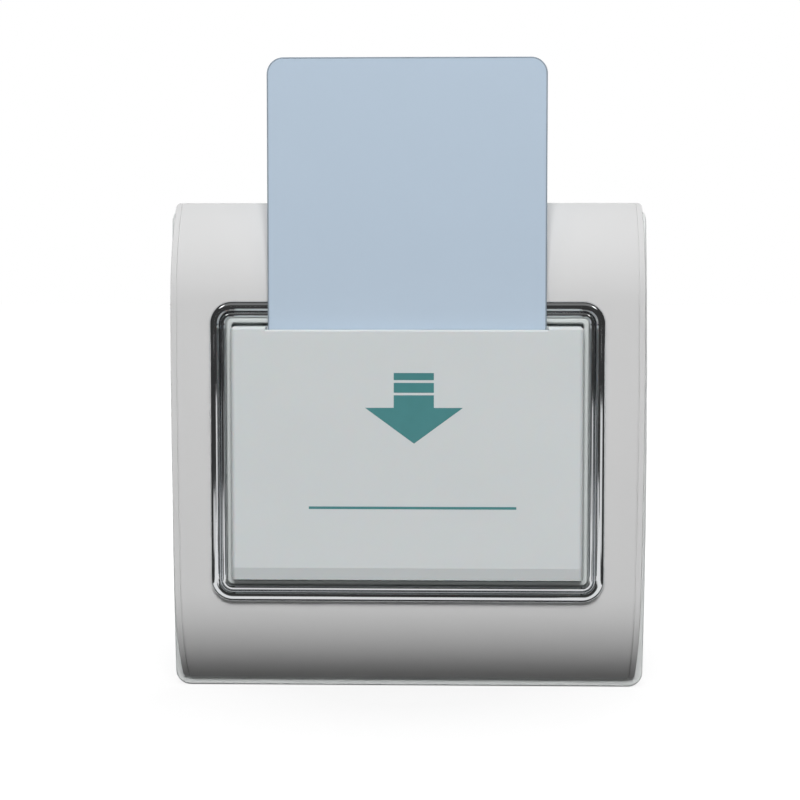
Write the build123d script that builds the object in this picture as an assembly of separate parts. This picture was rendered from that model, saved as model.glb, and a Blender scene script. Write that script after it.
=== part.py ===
from build123d import *
import os
from math import asin, cos, pi, sin, sqrt

# Hotel key card switch for a wall box. Millimetres, +Z up, the front faces -Y.
# The origin is the middle of the wall face, and a depth is counted from the wall towards the room,
# so what lies inside the wall box has a negative depth.

# Key card
card_width = 53.98
card_height = 85.6
card_thickness = 0.76
card_corner = 3.18
card_showing = 52.28

# Clearances, and how far a cutting body reaches past the face that it opens
seat_gap = 0.1
slide_gap = 0.15
touch_gap = 0.12
overrun = 1.0
flat_enough = 0.001

# Front cover
cover_width = 92.6
cover_height = 95.2
cover_side_bow = 0.55
cover_taper = 0.35
cover_face = 12.0
cover_wall = 2.0
cover_end_depth = 3.2
cover_top_run = 18.9
cover_low_run = 17.8
cover_corner = 0.8
cover_edge = 0.5
edge_band = 1.45
edge_band_drop = 0.2
edge_groove = 0.3
edge_groove_depth = 0.5
cover_boss_radius = 2.6
cover_boss_inset = 6.1
cover_boss_rise = 20.0

# Pocket front panel
panel_width = 68.2
panel_height = 49.3
panel_wall = 1.8
panel_corner = 0.6
panel_side_round = 0.9
panel_top_edge = 0.5
panel_foot_height = 2.4
panel_foot_slope = 0.55
mouth_drop = 0.6
card_play = 0.295
card_side_play = 0.31
mouth_lead = 0.3
panel_boss = 4.0
stop_ledge = 1.4
stop_drop = 0.6
stop_reach = 9.0
card_guide = 1.0
card_edge = 0.1

# Chrome trim ring round the window
window_z = -1.1
ring_side_margin = 4.5
ring_end_margin = 4.85
ring_width = panel_width + 2 * ring_side_margin
ring_height = panel_height + 2 * ring_end_margin
ring_corner = 4.4
main_bead = 2.1
main_bead_rise = 1.4
valley_rise = 0.3
second_bead = 1.1
second_bead_rise = 0.9
ring_lap = 1.25

# Inner bezel
bezel_band = 1.0
bezel_rise = 0.6
bezel_edge = 0.25

# Pocket back plate
slot_rise = 1.35
shoulder_drop = 2.0
back_wall = 1.5
flange_drop = 2.0
flange_side_gap = 1.5
flange_lap = 0.5
flange_height = ring_height + 2 * flange_lap
flange_corner = 3.0
lamp_window = 2.2

# Leaf springs behind the card
leaf_width = 4.0
leaf_length = 13.0
leaf_thickness = 0.2
leaf_inset = 18.0
leaf_depth = 16.95
leaf_pocket = 1.0

# Self-tapping screws
screw_head_radius = 2.1
screw_head = 1.2
screw_radius = 1.1
screw_recess = 0.5
screw_recess_arm = 2.2
short_screw = 4.0
long_screw = 8.0
pilot_extra = 0.3
screw_hole_gap = 0.15

# Mounting frame
frame_plate = 2.2
rim_side = 1.3
rim_bottom = 1.85
rim_top_setback = 0.65
rim_corner = 3.0
rim_edge = 0.3
box_screw_spacing = 60.3
box_screw_radius = 2.15
box_screw_slot = 8.0
latch_z = 36.0
latch_length = 6.0
latch_thickness = 1.2
latch_height = 3.9
latch_hook = 0.5
latch_hook_height = 1.0
latch_hook_drop = 0.6
rail_width = 1.6

# Card slider, pushed down by the card's lower edge
slider_width = 14.0
slider_plate = 2.5
slider_top = 1.0
slider_foot_margin = 3.75
slider_bottom = window_z - panel_height / 2 + slider_foot_margin
slider_travel = 3.5
nose_width = 7.0
nose_height = 3.2
nose_short = 0.25
foot_width = 5.0
foot_height = 2.4
foot_bottom = -3.0
guide_rib = 1.2
slider_stand = 1.8

# Return spring under the slider
spring_radius = 1.05
spring_wire = 0.3
spring_length = 6.0
spring_turns = 6
spring_seat = 1.5
spring_seat_width = 6.0

# Microswitch, lying on its side in front of the board
switch_length = 19.8
switch_height = 10.2
switch_thickness = 6.4
switch_front_gap = 0.6
switch_lift = 1.4
switch_x = -5.0
switch_hole_spacing = 9.5
switch_hole_radius = 1.2
switch_hole_drop = 7.0
switch_edge = 0.4
lever_thickness = 0.4
lever_width = 3.6
lever_reach = 17.5
lever_eye_radius = 0.95
pivot_radius = 0.4
pivot_play = 0.04
pivot_inset = 1.4
ear_width = 2.7
ear_thickness = 1.0
lever_above_body = 1.2
button_length = 2.2
button_width = 3.0
button_place = 5.5
button_inside = 2.0
pin_width = 3.2
pin_thickness = 0.5
pin_drop = 3.4
pin_tail_width = 1.2
switch_pin_shares = (-0.4, 0, 0.4)
peg_gap = 0.1

# Rear housing in the wall box
housing_size = 52.0
housing_depth = 30.0
housing_wall = 1.8
housing_corner = 3.0
housing_boss_radius = 3.0
housing_boss_inset = 4.6

# Circuit board and its standoffs
board_clearance = 0.4
board_thickness = 1.6
board_notch = 8.2
standoff_radius = 2.4
standoff_inset = 3.3
lead_radius = 0.35
lead_gap = 0.1
lead_stub = 1.2

# Parts on the back of the board
board_margin = 2.6
row_gap = 1.8
relay_width = 19.0
relay_height = 15.5
relay_tall = 15.3
relay_x = -7.4
relay_edge = 0.5
film_width = 18.0
film_height = 6.0
film_tall = 12.0
film_edge = 0.6
film_x = -8.0
varistor_radius = 5.0
varistor_thickness = 4.2
varistor_x = -12.0
varistor_lift = 1.0
varistor_lead_x = 2.5
can_radius = 4.0
can_tall = 11.5
can_x = 8.2
can_groove = 0.4
can_groove_drop = 2.0
can_lead_x = 1.25
fuse_radius = 1.8
fuse_length = 9.6
fuse_cap_radius = 2.1
fuse_cap = 2.4
fuse_x = 16.0
bridge_width = 8.3
bridge_height = 6.3
bridge_tall = 3.2
chip_width = 9.3
chip_height = 6.4
chip_tall = 3.4
chip_notch = 0.8
resistor_radius = 1.2
resistor_length = 6.5
resistor_neck = 0.95
resistor_pitch = 3.6
resistor_x = -1.0
resistor_count = 3
lead_inset = 1.6
lamp_radius = 1.5
lamp_flange_radius = 1.9
lamp_flange = 1.0
lamp_z = 9.5
lamp_tip_gap = 1.2
lamp_lead_spacing = 2.54

# Terminal block at the foot of the board
pole_count = 3
pole_pitch = 7.6
block_height = 10.2
block_end_wall = 0.6
block_proud = 0.6
cell_width = 5.8
cell_height = 6.4
cell_depth = 11.0
cage_gap = 0.1
cage_wall = 0.9
cage_length = 7.0
cage_inset = 1.5
clamp_radius = 1.5
clamp_head_radius = 2.2
clamp_head = 1.6
clamp_bite = 1.0
clamp_slot = 0.6
clamp_slot_depth = 0.7


os.makedirs("parts", exist_ok=True)


def export(name, *shapes):
    """Write one sub-part as one STEP file."""
    solids = [solid for shape in shapes for solid in shape.solids()]
    whole = solids[0] if len(solids) == 1 else Compound(solids)
    export_step(whole, f"parts/{name}.step")


def slab(outline, near, far):
    """Solid of a front-view outline between two depths."""
    return extrude(Plane.XZ.offset(near) * outline, amount=far - near)


def brick(x, z, width, height, near, far):
    """Block centred on a front-view place, between two depths."""
    return slab(Pos(x, z) * Rectangle(width, height), near, far)


def rod(x, z, radius, near, far):
    """Round bar square to the wall, between two depths."""
    return slab(Pos(x, z) * Circle(radius), near, far)


def mirrored_places(x, z_low, z_high):
    """Four places, the same to the left and to the right."""
    return [(side * x, z) for side in (-1, 1) for z in (z_low, z_high)]


def run(x, z, radius, start, end):
    """Round bar square to the wall, from one depth to another in either order."""
    return rod(x, z, radius, min(start, end), max(start, end))


def screw(x, z, seat, length, way):
    """Pan-head screw square to the wall, with a cross recess. The head bears on the seat's depth,
    and way is 1 where it is driven towards the room and -1 where it is driven towards the wall."""
    top = seat - way * screw_head
    shape = run(x, z, screw_head_radius, top, seat) + run(x, z, screw_radius, seat, seat + way * length)
    low = min(top - way * overrun, top + way * screw_recess)
    high = max(top - way * overrun, top + way * screw_recess)
    shape -= brick(x, z, screw_recess_arm, screw_recess, low, high)
    shape -= brick(x, z, screw_recess, screw_recess_arm, low, high)
    return shape


def pilot(x, z, seat, length, way):
    """Hole that a screw cuts its thread in, a little deeper than the screw's tip."""
    return run(x, z, screw_radius, seat, seat + way * (length + pilot_extra))


def screw_passage(x, z, near, far):
    """Clear hole for a screw's shank through a plate."""
    return rod(x, z, screw_radius + screw_hole_gap, near - overrun, far + overrun)


# Depths and places that follow from the sizes above
shoulder_face = cover_face - shoulder_drop
flange_face = cover_face - cover_wall - flange_drop
flange_back = flange_face - back_wall
slot_back = cover_face + slot_rise
slot_front = slot_back + card_thickness + card_play + card_play
panel_face = slot_front + panel_wall
platform_inside = slot_back - back_wall
ring_band = main_bead + second_bead
mouth_z = window_z + panel_height / 2 - mouth_drop
leaf_z = mouth_z - leaf_depth
card_bottom = mouth_z + card_showing - card_height
card_back = slot_back + card_play
window_width = ring_width - ring_lap - ring_lap
window_height = ring_height - ring_lap - ring_lap
window_corner = ring_corner - ring_lap
platform_width = panel_width - panel_wall - panel_wall - seat_gap - seat_gap
platform_height = panel_height - panel_wall - panel_wall - seat_gap - seat_gap
switch_rear = -switch_front_gap - switch_thickness
board_front = switch_rear - switch_lift
board_back = board_front - board_thickness
housing_floor = housing_wall - housing_depth
board_size = housing_size - housing_wall - housing_wall - board_clearance - board_clearance
housing_boss = housing_size / 2 - housing_boss_inset
panel_boss_x = (panel_width - panel_boss) / 2 - panel_wall
panel_boss_low = window_z - (panel_height - panel_boss) / 2 + panel_wall
panel_boss_high = window_z + (panel_height - panel_boss) / 2 - panel_wall
cover_boss_x = cover_width / 2 - cover_boss_inset
flange_width = cover_width - 2 * (cover_wall + flange_side_gap)
cover_boss_low = window_z - cover_boss_rise
cover_boss_high = window_z + cover_boss_rise


def cover_outline(side_inset, end_inset):
    """Front view of the cover: flat ends, and sides that belly out and draw in towards the foot."""
    half = cover_width / 2 - side_inset
    half_top = half - cover_side_bow + cover_taper
    half_low = half - cover_side_bow - cover_taper
    end = cover_height / 2 - end_inset
    edges = Line((-half_top, end), (half_top, end))
    edges += ThreePointArc((half_top, end), (half, 0), (half_low, -end))
    edges += Line((half_low, -end), (-half_low, -end))
    edges += ThreePointArc((-half_low, -end), (-half, 0), (-half_top, end))
    outline = make_face(edges)
    return fillet(outline.vertices(), cover_corner)


def end_radius(run):
    """Radius of the arc that leaves the flat face square and reaches the cover's end after this run."""
    fall = cover_face - cover_end_depth
    return (run * run + fall * fall) / (fall + fall)


def cover_profile(face_inset, end_inset):
    """Side view of the cover as a solid back to the wall plane: flat face, and an arc down to each end."""
    end = cover_height / 2 - end_inset
    top_radius = end_radius(cover_top_run)
    low_radius = end_radius(cover_low_run)
    flat_top = cover_height / 2 - cover_top_run
    flat_low = cover_low_run - cover_height / 2
    top_turn = asin((end - flat_top) / (top_radius - face_inset))
    low_turn = asin((flat_low + end) / (low_radius - face_inset))

    def top_arc(turn):
        reach = top_radius - face_inset
        return (top_radius - cover_face - reach * cos(turn), flat_top + reach * sin(turn))

    def low_arc(turn):
        reach = low_radius - face_inset
        return (low_radius - cover_face - reach * cos(turn), flat_low - reach * sin(turn))

    edges = Line((0, -end), (0, end))
    edges += Line((0, end), top_arc(top_turn))
    edges += ThreePointArc(top_arc(top_turn), top_arc(top_turn / 2), top_arc(0))
    edges += Line(top_arc(0), low_arc(0))
    edges += ThreePointArc(low_arc(0), low_arc(low_turn / 2), low_arc(low_turn))
    edges += Line(low_arc(low_turn), (0, -end))
    return extrude(Plane.YZ * make_face(edges), amount=cover_width, both=True)


def outer_rim(body):
    """Edges round the front of a cover body: not those at its rear, square to the wall or across its face."""
    rim = []
    for edge in body.edges():
        size = edge.bounding_box().size
        at_rear = size.Y < flat_enough and abs(-edge.center().Y - frame_plate) < flat_enough
        square_to_wall = size.X < flat_enough and size.Z < flat_enough
        across = size.Y < flat_enough and size.Z < flat_enough
        at_end = abs(edge.center().Z) > cover_height / 2 - flat_enough
        if not (at_rear or square_to_wall or (across and not at_end)):
            rim.append(edge)
    return rim


def latch_places():
    """Side and height of the four latches between frame and cover."""
    return [(side, up * latch_z) for side in (-1, 1) for up in (-1, 1)]


def inner_half_width(z):
    """Half the cover's inner width at a latch, where the bowed side comes nearest to it."""
    half = cover_height / 2
    taper = cover_taper * (z - latch_length / 2) / half
    bow = cover_side_bow * (latch_z + latch_length / 2) ** 2 / half ** 2
    return cover_width / 2 - cover_wall + taper - bow


# Front cover: rounded edges, a low band and a fine groove along each side, and a hollow back
outside = slab(cover_outline(0, 0), frame_plate, cover_face + overrun)
cover = fillet(outer_rim(cover_profile(0, -overrun) & outside), cover_edge)
inner = slab(cover_outline(edge_band, -overrun), 0, cover_face + overrun + overrun)
band_skin = cover_profile(-overrun, -overrun) - cover_profile(edge_band_drop, -overrun - overrun)
cover -= band_skin & (outside - inner)
groove = slab(cover_outline(edge_band - edge_groove, -overrun), 0, cover_face + overrun + overrun) - inner
groove_skin = cover_profile(-overrun, -overrun) - cover_profile(edge_groove_depth, -overrun - overrun)
cover -= groove_skin & groove
cover -= cover_profile(cover_wall, cover_wall - overrun) & slab(
    cover_outline(cover_wall, cover_wall), frame_plate - overrun, cover_face
)
for x, z in mirrored_places(cover_boss_x, cover_boss_low, cover_boss_high):
    cover += rod(x, z, cover_boss_radius, flange_face, cover_face - cover_wall)
    cover -= pilot(x, z, flange_back, short_screw, 1)
cover -= slab(
    Pos(0, window_z) * RectangleRounded(window_width, window_height, window_corner),
    flange_face,
    cover_face + overrun,
)
latch_hook_low = frame_plate + latch_height - latch_hook_drop - latch_hook_height
for side, z in latch_places():
    cover -= brick(
        side * inner_half_width(z), z,
        latch_hook + latch_hook + seat_gap, latch_length + seat_gap + seat_gap,
        latch_hook_low - seat_gap, latch_hook_low + latch_hook_height + seat_gap,
    )
export("front_cover", cover)


# Chrome trim ring: one section swept round the window, two beads on top and a skirt in the window
ring_path = (
    Plane.XZ.offset(cover_face) * Pos(0, window_z) * RectangleRounded(ring_width, ring_height, ring_corner)
).face().outer_wire()
ring_start = Plane(
    origin=ring_path @ 0,
    x_dir=Vector(0, -1, 0).cross(ring_path % 0),
    z_dir=ring_path % 0,
)
ring_edges = ThreePointArc((0, 0), (main_bead / 2, main_bead_rise), (main_bead, valley_rise))
ring_edges += ThreePointArc(
    (main_bead, valley_rise), (main_bead + second_bead / 2, second_bead_rise), (ring_band, valley_rise)
)
ring_edges += Polyline(
    (ring_band, valley_rise),
    (ring_band, -shoulder_drop),
    (ring_lap + seat_gap, -shoulder_drop),
    (ring_lap + seat_gap, 0),
    (0, 0),
)
export("chrome_trim_ring", sweep(ring_start * make_face(ring_edges), path=ring_path))

# Inner bezel, a thin frame between the ring and the pocket
bezel_width = ring_width - ring_band - ring_band - seat_gap - seat_gap
bezel_height = ring_height - ring_band - ring_band - seat_gap - seat_gap
bezel = slab(
    Pos(0, window_z) * RectangleRounded(bezel_width, bezel_height, ring_corner - ring_band - seat_gap)
    - Pos(0, window_z) * RectangleRounded(
        bezel_width - bezel_band - bezel_band, bezel_height - bezel_band - bezel_band, panel_corner
    ),
    shoulder_face,
    cover_face + bezel_rise,
)
export("inner_bezel", chamfer(bezel.faces().sort_by(Axis.Y)[0].edges(), bezel_edge))

# Pocket front panel: an open-backed shell whose top wall is cut through by the card slot
panel_top = window_z + panel_height / 2
panel_foot = window_z - panel_height / 2
slot_width = card_width + card_side_play + card_side_play
slope = Plane.YZ * make_face(Polyline(
    (-panel_face - overrun, panel_foot + panel_foot_height),
    (-panel_face, panel_foot + panel_foot_height),
    (panel_foot_slope - panel_face, panel_foot),
    (panel_foot_slope - panel_face, panel_foot - overrun),
    (-panel_face - overrun, panel_foot - overrun),
    close=True,
))
panel = brick(0, window_z, panel_width, panel_height, shoulder_face, panel_face)
panel -= extrude(slope, amount=panel_width, both=True)
panel_sides = panel.edges().filter_by(lambda edge: edge.bounding_box().size.X < flat_enough)
panel_sides = panel_sides.filter_by(lambda edge: edge.bounding_box().size.Z > panel_corner)
panel_sides = panel_sides.filter_by(lambda edge: -edge.center().Y > slot_front)
panel = fillet(panel_sides, panel_side_round)
panel_crown = panel.edges().filter_by(lambda edge: edge.center().Z > panel_top - flat_enough)
panel_crown = panel_crown.filter_by(lambda edge: -edge.center().Y > panel_face - flat_enough)
panel = chamfer(panel_crown, panel_top_edge)
panel -= brick(
    0, window_z, panel_width - panel_wall - panel_wall, panel_height - panel_wall - panel_wall,
    shoulder_face - overrun, slot_front,
)
for x, z in mirrored_places(panel_boss_x, panel_boss_low, panel_boss_high):
    panel += brick(x, z, panel_boss, panel_boss, shoulder_face, slot_front)
    panel -= pilot(x, z, shoulder_face - back_wall, short_screw, 1)
guide_low = card_bottom - stop_drop - stop_ledge
for side in (-1, 1):
    panel += brick(
        side * (slot_width + card_guide) / 2, (guide_low + panel_top - panel_wall) / 2,
        card_guide, panel_top - panel_wall - guide_low, slot_back + seat_gap, slot_front,
    )
    panel += brick(
        side * (slot_width - stop_reach) / 2, guide_low + stop_ledge / 2,
        stop_reach, stop_ledge, slot_back + seat_gap, slot_front,
    )
panel -= brick(
    0, panel_top, slot_width, panel_wall + panel_wall + overrun, slot_back, slot_front
)
panel -= brick(
    0, mouth_z + (mouth_drop + overrun) / 2, slot_width, mouth_drop + overrun, slot_back, panel_face + overrun
)
mouth_edges = panel.edges().filter_by(lambda edge: abs(edge.center().Z - mouth_z) < flat_enough)
mouth_edges = mouth_edges.filter_by(lambda edge: edge.bounding_box().size.X > card_width)
panel = chamfer(mouth_edges, mouth_lead)
export("pocket_front_panel", panel)

# Pocket back plate: flange under the cover, shoulder in the window, and a hollow platform in the pocket
shoulder_width = window_width - seat_gap - seat_gap
shoulder_height = window_height - seat_gap - seat_gap
post = panel_boss + seat_gap + seat_gap
post_wall = panel_boss + seat_gap + back_wall
slider_back = frame_plate + slider_stand
slider_front = slider_back + slider_plate
nose_top = card_bottom - touch_gap
nose_far = slot_front - nose_short
spring_foot = slider_bottom - spring_length
slider_rail_x = (slider_width - rail_width) / 2
guide_x = (slider_width + guide_rib) / 2 + slide_gap
back_plate = slab(
    Pos(0, window_z) * RectangleRounded(flange_width, flange_height, flange_corner), flange_back, flange_face
)
back_plate += slab(
    Pos(0, window_z) * RectangleRounded(shoulder_width, shoulder_height, window_corner),
    flange_back, shoulder_face,
)
back_plate += brick(0, window_z, platform_width, platform_height, flange_back, slot_back)
back_plate -= brick(
    0, window_z, shoulder_width - back_wall - back_wall, shoulder_height - back_wall - back_wall,
    flange_back - overrun, shoulder_face - back_wall,
)
back_plate -= brick(
    0, window_z, platform_width - back_wall - back_wall, platform_height - post_wall - post_wall,
    flange_back, platform_inside,
)
back_plate -= brick(
    0, window_z, platform_width - post_wall - post_wall, platform_height - back_wall - back_wall,
    flange_back, platform_inside,
)
for x, z in mirrored_places(panel_boss_x, panel_boss_low, panel_boss_high):
    back_plate -= brick(x, z, post, post, shoulder_face, slot_back + overrun)
    back_plate -= screw_passage(x, z, shoulder_face - back_wall, shoulder_face)
for x, z in mirrored_places(cover_boss_x, cover_boss_low, cover_boss_high):
    back_plate -= screw_passage(x, z, flange_back, flange_face)
back_plate -= brick(
    0, nose_top + (slider_travel - nose_height) / 2,
    nose_width + slide_gap + slide_gap, nose_height + slider_travel + slide_gap + slide_gap,
    platform_inside - overrun, slot_back + overrun,
)
for side in (-1, 1):
    back_plate -= brick(
        side * leaf_inset, leaf_z, leaf_width + seat_gap + seat_gap, leaf_length + seat_gap + seat_gap,
        slot_back - leaf_pocket, slot_back + overrun,
    )
    back_plate += brick(
        side * guide_x, (slider_top + slider_travel + slider_bottom) / 2,
        guide_rib, slider_top + slider_travel - slider_bottom, slider_back - slide_gap, platform_inside,
    )
    back_plate += brick(
        side * slider_rail_x, (slider_top + slider_travel + slider_bottom) / 2,
        rail_width, slider_top + slider_travel - slider_bottom, slider_front + slide_gap, platform_inside,
    )
back_plate -= rod(0, lamp_z, lamp_window, platform_inside - overrun, slot_back + overrun)
back_plate += brick(
    0, spring_foot - spring_seat / 2, spring_seat_width, spring_seat, slider_back, shoulder_face - back_wall
)
export("pocket_back_plate", back_plate)

# Leaf springs: two bowed strips that rest in pockets of the platform and press on the card
leaf_floor = slot_back - leaf_pocket
leaf_crest = card_back - touch_gap


def leaf_arc(rise):
    """One face of a leaf spring in side view, this far in front of its rear face."""
    return ThreePointArc(
        (-leaf_floor - rise, leaf_z - leaf_length / 2),
        (-leaf_crest + leaf_thickness - rise, leaf_z),
        (-leaf_floor - rise, leaf_z + leaf_length / 2),
    )


leaf_rear = leaf_arc(0)
leaf_front = leaf_arc(leaf_thickness)
leaf_face = make_face(
    leaf_rear + leaf_front + Line(leaf_rear @ 0, leaf_front @ 0) + Line(leaf_rear @ 1, leaf_front @ 1)
)
leaf = extrude(Plane.YZ * leaf_face, amount=leaf_width / 2, both=True)
export("card_leaf_springs", *[Pos(side * leaf_inset, 0, 0) * leaf for side in (-1, 1)])

# Screws of the pocket and the cover, both driven from behind towards the room
export("panel_screws", *[
    screw(x, z, shoulder_face - back_wall, short_screw, 1)
    for x, z in mirrored_places(panel_boss_x, panel_boss_low, panel_boss_high)
])
export("cover_screws", *[
    screw(x, z, flange_back, short_screw, 1)
    for x, z in mirrored_places(cover_boss_x, cover_boss_low, cover_boss_high)
])

# Mounting frame: a plate whose rim stands out past the cover, with latches, rails and switch pegs
frame_half = cover_width / 2 + rim_side
frame_half_end = frame_half - cover_side_bow
frame_top = cover_height / 2 - rim_top_setback
frame_low = -cover_height / 2 - rim_bottom
frame_edges = Line((-frame_half_end, frame_top), (frame_half_end, frame_top))
frame_edges += ThreePointArc((frame_half_end, frame_top), (frame_half, 0), (frame_half_end, frame_low))
frame_edges += Line((frame_half_end, frame_low), (-frame_half_end, frame_low))
frame_edges += ThreePointArc((-frame_half_end, frame_low), (-frame_half, 0), (-frame_half_end, frame_top))
frame_face = make_face(frame_edges)
mounting_frame = slab(fillet(frame_face.vertices(), rim_corner), 0, frame_plate)
mounting_frame = chamfer(mounting_frame.faces().sort_by(Axis.Y)[0].edges(), rim_edge)
for side in (-1, 1):
    box_slot = SlotOverall(box_screw_slot, box_screw_radius + box_screw_radius)
    mounting_frame -= slab(
        Pos(side * box_screw_spacing / 2, 0) * box_slot, -overrun, frame_plate + overrun
    )
    mounting_frame += brick(
        side * slider_rail_x, (slider_top + slider_travel + slider_bottom) / 2,
        rail_width, slider_top + slider_travel - slider_bottom, frame_plate, slider_back - slide_gap,
    )
mounting_frame -= brick(
    0, foot_bottom + (foot_height + slider_travel) / 2,
    foot_width + slide_gap + slide_gap, foot_height + slider_travel + slide_gap + slide_gap,
    -overrun, slider_back,
)
mounting_frame -= rod(0, lamp_z, lamp_radius + slide_gap, -overrun, frame_plate + overrun)
for side, z in latch_places():
    latch_x = side * (inner_half_width(z) - seat_gap - latch_thickness / 2)
    mounting_frame += brick(
        latch_x, z, latch_thickness, latch_length, frame_plate, frame_plate + latch_height
    )
    mounting_frame += brick(
        latch_x + side * latch_hook / 2, z, latch_thickness + latch_hook, latch_length,
        latch_hook_low, latch_hook_low + latch_hook_height,
    )
switch_lever_top = foot_bottom - touch_gap
switch_lever_low = switch_lever_top - lever_thickness
switch_top = switch_lever_low - lever_above_body
switch_z = switch_top - switch_height / 2
peg_z = switch_top - switch_hole_drop
for side in (-1, 1):
    mounting_frame += rod(
        switch_x + side * switch_hole_spacing / 2, peg_z, switch_hole_radius - peg_gap,
        switch_rear + peg_gap, 0,
    )
for x, z in mirrored_places(housing_boss, -housing_boss, housing_boss):
    mounting_frame -= screw_passage(x, z, 0, frame_plate)
export("mounting_frame", mounting_frame)

# Rear housing: an open box with screw bosses, board standoffs and openings for the terminals
block_width = pole_count * pole_pitch + block_end_wall + block_end_wall
block_z = (block_height - board_size) / 2
block_rear = -housing_depth - block_proud
pole_places = [(pole - (pole_count - 1) / 2) * pole_pitch for pole in range(pole_count)]
cage_rear = block_rear + cage_inset
cage_middle = cage_rear + cage_length / 2
standoff_x = board_size / 2 - standoff_inset
housing_inside = housing_size - housing_wall - housing_wall
housing = slab(RectangleRounded(housing_size, housing_size, housing_corner), -housing_depth, 0)
housing -= brick(0, 0, housing_inside, housing_inside, housing_floor, overrun)
for x, z in mirrored_places(housing_boss, -housing_boss, housing_boss):
    housing += rod(x, z, housing_boss_radius, housing_floor, 0)
    housing -= pilot(x, z, frame_plate, long_screw, -1)
for side in (-1, 1):
    housing += rod(side * standoff_x, 0, standoff_radius, housing_floor, board_back)
    housing -= pilot(side * standoff_x, 0, board_front, long_screw, -1)
housing -= brick(
    0, block_z, block_width + seat_gap + seat_gap, block_height + seat_gap + seat_gap,
    -housing_depth - overrun, housing_floor + overrun,
)
for x in pole_places:
    housing -= Pos(x, -cage_middle, (housing_wall - housing_size) / 2) * Cylinder(
        clamp_head_radius + seat_gap, housing_wall + overrun
    )
export("rear_housing", housing)
export("housing_screws", *[
    screw(x, z, frame_plate, long_screw, -1)
    for x, z in mirrored_places(housing_boss, -housing_boss, housing_boss)
])

# Places of the parts on the board, in rows down from its top edge
board_top = board_size / 2
relay_z = board_top - board_margin - relay_height / 2
film_z = relay_z - (relay_height + film_height) / 2 - row_gap
varistor_z = film_z - (film_height + varistor_thickness) / 2 - row_gap
resistor_z = film_z - (film_height + resistor_length) / 2 - row_gap
can_z = board_top - board_margin - can_radius
bridge_z = can_z - can_radius - row_gap - bridge_height / 2
chip_z = bridge_z - (bridge_height + chip_height) / 2 - row_gap
fuse_z = bridge_z
resistor_places = [
    resistor_x + (n - (resistor_count - 1) / 2) * resistor_pitch for n in range(resistor_count)
]
switch_pins = [switch_x + share * switch_length for share in switch_pin_shares]
pin_depth = switch_rear + switch_thickness / 2
pin_foot = switch_z - switch_height / 2 - pin_drop


def four_leads(x, z, width, height):
    """Leads under the corners of a boxed part that lies on the board."""
    return [
        (x + side * (width / 2 - lead_inset), z + up * (height / 2 - lead_inset), board_back)
        for side in (-1, 1) for up in (-1, 1)
    ]


def lead_places():
    """Place of each lead and the depth where it ends at its part behind the board."""
    leads = four_leads(relay_x, relay_z, relay_width, relay_height)
    leads += four_leads(can_x, bridge_z, bridge_width, bridge_height)
    leads += four_leads(can_x, chip_z, chip_width, chip_height)
    varistor_reach = sqrt(varistor_radius ** 2 - (varistor_lead_x - lead_radius) ** 2)
    varistor_low = board_back - varistor_lift - varistor_radius + varistor_reach
    for side in (-1, 1):
        leads.append((film_x + side * (film_width / 2 - lead_inset), film_z, board_back))
        leads.append((can_x + side * can_lead_x, can_z, board_back))
        leads.append((fuse_x, fuse_z + side * (fuse_length - fuse_cap) / 2, board_back))
        leads.append((varistor_x + side * varistor_lead_x, varistor_z, varistor_low))
        for x in resistor_places:
            leads.append((x, resistor_z + side * (resistor_length - lead_inset) / 2, board_back))
    for x in pole_places:
        leads.append((x, block_z, board_back))
    return leads


lamp_leads = [(side * lamp_lead_spacing / 2, lamp_z) for side in (-1, 1)]

# Circuit board, notched round the housing's corner bosses and drilled for every lead
board = brick(0, 0, board_size, board_size, board_back, board_front)
for x, z in mirrored_places(board_size / 2, -board_size / 2, board_size / 2):
    board -= brick(x, z, board_notch + board_notch, board_notch + board_notch, board_back, board_front)
for side in (-1, 1):
    board -= screw_passage(side * standoff_x, 0, board_back, board_front)
for x, z, end in lead_places():
    board -= rod(x, z, lead_radius + lead_gap, board_back, board_front)
for x, z in lamp_leads:
    board -= rod(x, z, lead_radius + lead_gap, board_back, board_front)
for x in switch_pins:
    board -= brick(
        x, pin_foot + pin_thickness / 2, pin_tail_width + lead_gap + lead_gap,
        pin_thickness + lead_gap + lead_gap, board_back, board_front,
    )
export("circuit_board", board)
export("board_screws", *[screw(side * standoff_x, 0, board_front, long_screw, -1) for side in (-1, 1)])
leads = [rod(x, z, lead_radius, end, board_front + lead_stub) for x, z, end in lead_places()]
leads += [rod(x, z, lead_radius, board_back, frame_plate) for x, z in lamp_leads]
export("component_leads", *leads)

# Boxed parts behind the board
relay = brick(relay_x, relay_z, relay_width, relay_height, board_back - relay_tall, board_back)
export("power_relay", chamfer(relay.faces().sort_by(Axis.Y)[-1].edges(), relay_edge))
film = brick(film_x, film_z, film_width, film_height, board_back - film_tall, board_back)
export("film_capacitor", chamfer(film.faces().sort_by(Axis.Y)[-1].edges(), film_edge))
bridge = brick(can_x, bridge_z, bridge_width, bridge_height, board_back - bridge_tall, board_back)
export("bridge_rectifier", bridge)
chip = brick(can_x, chip_z, chip_width, chip_height, board_back - chip_tall, board_back)
chip -= rod(
    can_x - chip_width / 2, chip_z, chip_notch, board_back - chip_tall - overrun, board_back - chip_tall / 2
)
export("timer_chip", chip)

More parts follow.
